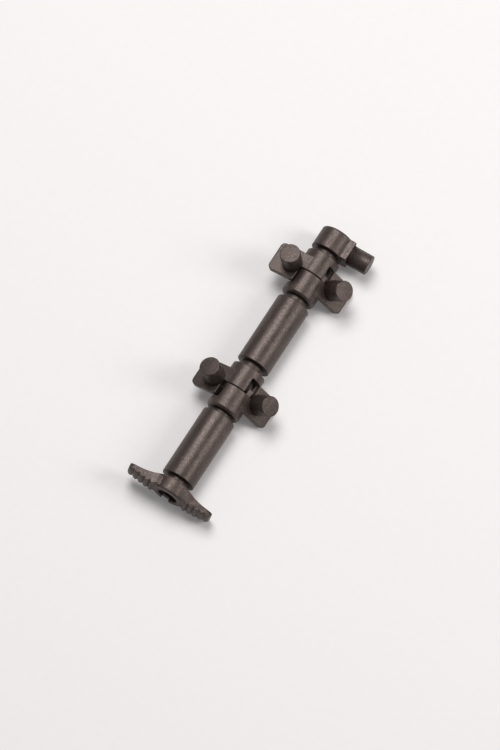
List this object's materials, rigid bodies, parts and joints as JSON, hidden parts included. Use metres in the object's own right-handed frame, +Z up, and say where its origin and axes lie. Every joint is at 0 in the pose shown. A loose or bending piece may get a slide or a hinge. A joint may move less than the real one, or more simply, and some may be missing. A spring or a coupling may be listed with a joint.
{
  "type": "spool holder stand",
  "caption": "Round swivel-peg column on a ribbed crossbar foot, with square-tabbed collars that turn about a spindle and an end cap with a sideways peg",
  "frame": {"origin": "centre of the bounding box in X and Y, on the surface the stand lies on", "axes": "+Y along the column from the foot to the end cap, +Z up from the surface, +X to the side the end cap peg points at"},
  "size_m": [0.0136, 0.0468, 0.008],
  "materials": {
    "foot_plastic": "moulded, fine grain",
    "sleeve_plastic": "moulded, fine grain with a faint metallic flake",
    "collar_plastic": "moulded, fine grain with a faint metallic flake",
    "peg_plastic": "moulded, fine grain with a faint metallic flake",
    "core_plastic": "moulded, smooth"
  },
  "bodies": {
    "column": {"foot_crossbar": "foot_plastic", "lower_sleeve": "sleeve_plastic", "upper_sleeve": "sleeve_plastic", "spindle": "core_plastic", "neck_spacer_1": "core_plastic", "neck_spacer_2": "core_plastic", "neck_spacer_3": "core_plastic", "neck_spacer_4": "core_plastic", "lower_seam_washer": "core_plastic", "upper_seam_washer": "core_plastic"},
    "lower_right": {"lower_right_collar": "collar_plastic", "lower_right_peg": "peg_plastic"},
    "lower_left": {"lower_left_collar": "collar_plastic", "lower_left_peg": "peg_plastic"},
    "upper_right": {"upper_right_collar": "collar_plastic", "upper_right_peg": "peg_plastic"},
    "upper_left": {"upper_left_collar": "collar_plastic", "upper_left_peg": "peg_plastic"},
    "end_cap": {"end_cap": "collar_plastic", "end_cap_peg": "peg_plastic"}
  },
  "joints": [
    {"name": "lower_right_swivel", "type": "hinge", "parent": "column", "child": "lower_right", "pos_m": [0, -0.00468, 0.0026], "axis": [0, 1, 0], "continuous": true},
    {"name": "lower_left_swivel", "type": "hinge", "parent": "lower_right", "child": "lower_left", "pos_m": [0, -0.00468, 0.0026], "axis": [0, 1, 0], "range_deg": [-39.8, 14.2]},
    {"name": "upper_right_swivel", "type": "hinge", "parent": "column", "child": "upper_right", "pos_m": [0, 0.01569, 0.0026], "axis": [0, 1, 0], "continuous": true},
    {"name": "upper_left_swivel", "type": "hinge", "parent": "upper_right", "child": "upper_left", "pos_m": [0, 0.01569, 0.0026], "axis": [0, 1, 0], "range_deg": [-53, 1]},
    {"name": "end_cap_swivel", "type": "hinge", "parent": "column", "child": "end_cap", "pos_m": [0, 0.02181, 0.0026], "axis": [0, 1, 0], "continuous": true}
  ]
}
